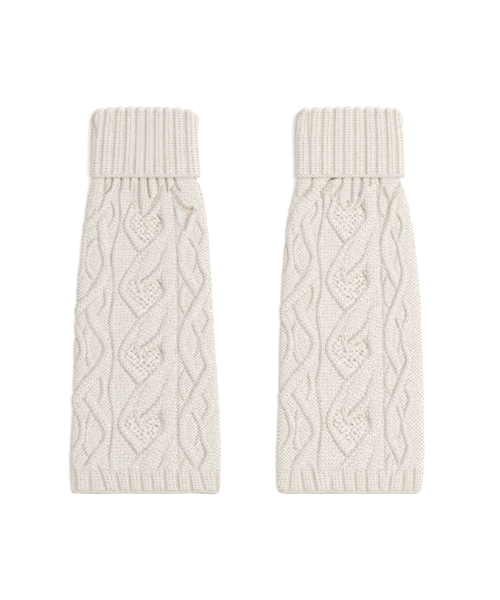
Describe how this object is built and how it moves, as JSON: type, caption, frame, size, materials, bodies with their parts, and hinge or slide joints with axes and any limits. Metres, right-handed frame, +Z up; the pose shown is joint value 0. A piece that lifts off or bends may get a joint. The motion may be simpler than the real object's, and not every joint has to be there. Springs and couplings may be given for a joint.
{
  "type": "pair of knitted leg warmers",
  "caption": "Cable-knit leg warmers with heart cables, side lattices, ribbed hems and turned-down ribbed cuffs, laid flat side by side.",
  "frame": {"origin": "on the surface the leg warmers lie on, under the middle of the pair", "axes": "+Y along the legs towards the cuffs, +X to the right as seen from above with the cuffs away from the viewer, +Z up off the surface"},
  "size_m": [0.3828, 0.4186, 0.0149],
  "materials": {
    "cable_knit": "matt soft wool yarn, cream, in cable stitch",
    "rib_knit": "matt soft wool yarn, cream, in rib stitch"
  },
  "bodies": {
    "root": {"left_leg": "cable_knit", "left_hem": "rib_knit", "left_cuff": "rib_knit", "right_leg": "cable_knit", "right_hem": "rib_knit", "right_cuff": "rib_knit"}
  },
  "joints": []
}
